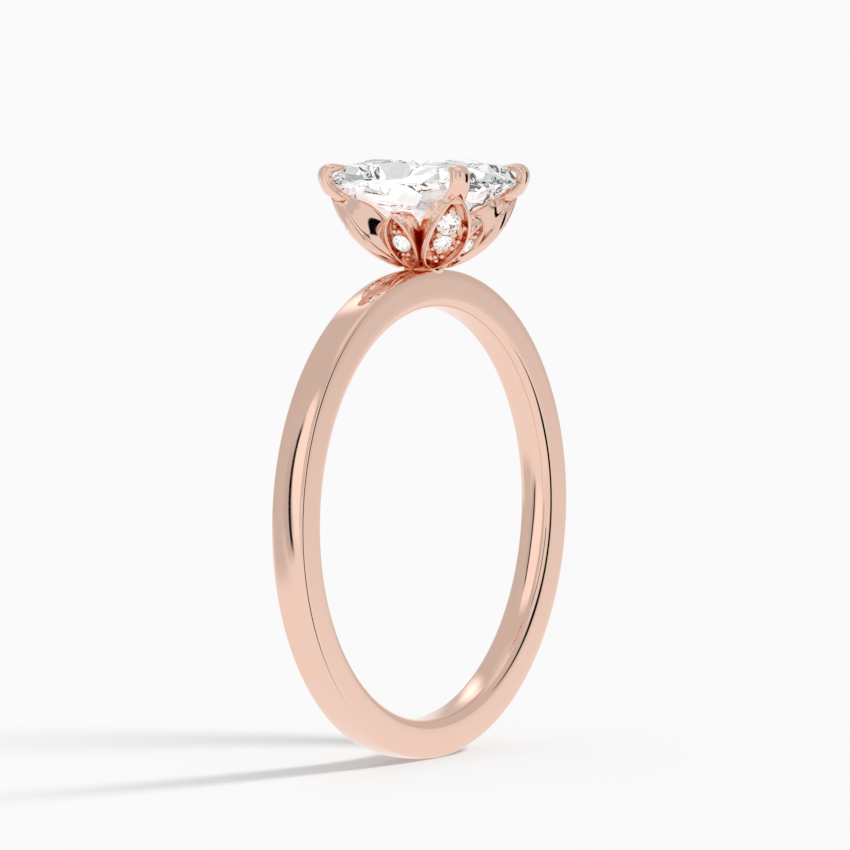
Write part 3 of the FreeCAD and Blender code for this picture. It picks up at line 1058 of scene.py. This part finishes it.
# On the left, a broad shade and a narrow one
studio.card(azimuth=-44, elevation=15, half_width=3, half_height=30, soft=12, brightness=0.70, fall=14)
studio.card(azimuth=-34.5, elevation=6, half_width=1.5, half_height=16, soft=3, brightness=0.62,
            lean=0.20, fall=12)
# Overhead, pale all round
studio.card(azimuth=0, elevation=85, half_width=180, half_height=4, soft=2, brightness=1.00, fall=20)
# High behind, the highlight on the top of the band
studio.card(azimuth=-131, elevation=46, half_width=2, half_height=1, soft=16, brightness=1.60)
# On the left, a bright panel and the black strip at its far edge
studio.card(azimuth=-20, elevation=20, half_width=10, half_height=24, soft=2.5, brightness=1.10,
            lean=0.30, fall=12)
studio.card(azimuth=-31.5, elevation=12, half_width=1.0, half_height=20, soft=1.2, brightness=0.0,
            lean=0.20, fall=10)
# On the right, a pale panel with a black strip in it
studio.card(azimuth=58, elevation=12, half_width=32, half_height=22, soft=8, brightness=0.90)
studio.card(azimuth=54, elevation=24, half_width=3.2, half_height=17, soft=1.5, brightness=0.0)
# Far right, a black panel
studio.card(azimuth=115, elevation=0, half_width=13, half_height=16, soft=3, brightness=0.0, fall=10)
studio.close()


def make_key():
    """A small soft light close by. Its strength grows with distance, so that the floor is evenly lit."""
    light = bpy.data.lights.new("key", "AREA")
    light.shape = "DISK"
    light.size = KEY_SIZE * MM
    light.energy = 1.0
    light.use_nodes = True
    tree = light.node_tree
    emission = tree.nodes["Emission"]
    path = tree.nodes.new("ShaderNodeLightPath")
    power = tree.nodes.new("ShaderNodeMath")
    power.operation = "POWER"
    power.inputs[1].default_value = KEY_FALLOFF
    gain = tree.nodes.new("ShaderNodeMath")
    gain.operation = "MULTIPLY"
    gain.inputs[1].default_value = KEY_GAIN
    tree.links.new(path.outputs["Ray Length"], power.inputs[0])
    tree.links.new(power.outputs[0], gain.inputs[0])
    tree.links.new(gain.outputs[0], emission.inputs["Strength"])
    key = link_object("key", light)
    target = Vector((0, 0, FLOOR_Z * MM))
    key.location = target + point_at(KEY_AZIMUTH, KEY_ELEVATION) * KEY_DISTANCE * MM
    key.visible_glossy = False
    key.visible_transmission = False


def make_camera():
    toward = point_at(CAMERA_AZIMUTH, CAMERA_ELEVATION)
    right = point_at(CAMERA_AZIMUTH + 90, 0)
    up = toward.cross(right)
    data = bpy.data.cameras.new("camera")
    data.lens = LENS
    data.sensor_width = SENSOR
    data.clip_start, data.clip_end = CLIP
    camera = link_object("camera", data)
    camera.location = (toward * CAMERA_DISTANCE + right * CAMERA_RIGHT + up * CAMERA_UP) * MM
    camera.rotation_euler = toward.to_track_quat("Z", "Y").to_euler()
    bpy.context.scene.camera = camera


make_floor()
make_key()
make_camera()
scene = bpy.context.scene
scene.view_settings.view_transform = "Standard"
scene.cycles.max_bounces = 24
scene.cycles.glossy_bounces = 16
scene.cycles.transmission_bounces = 20
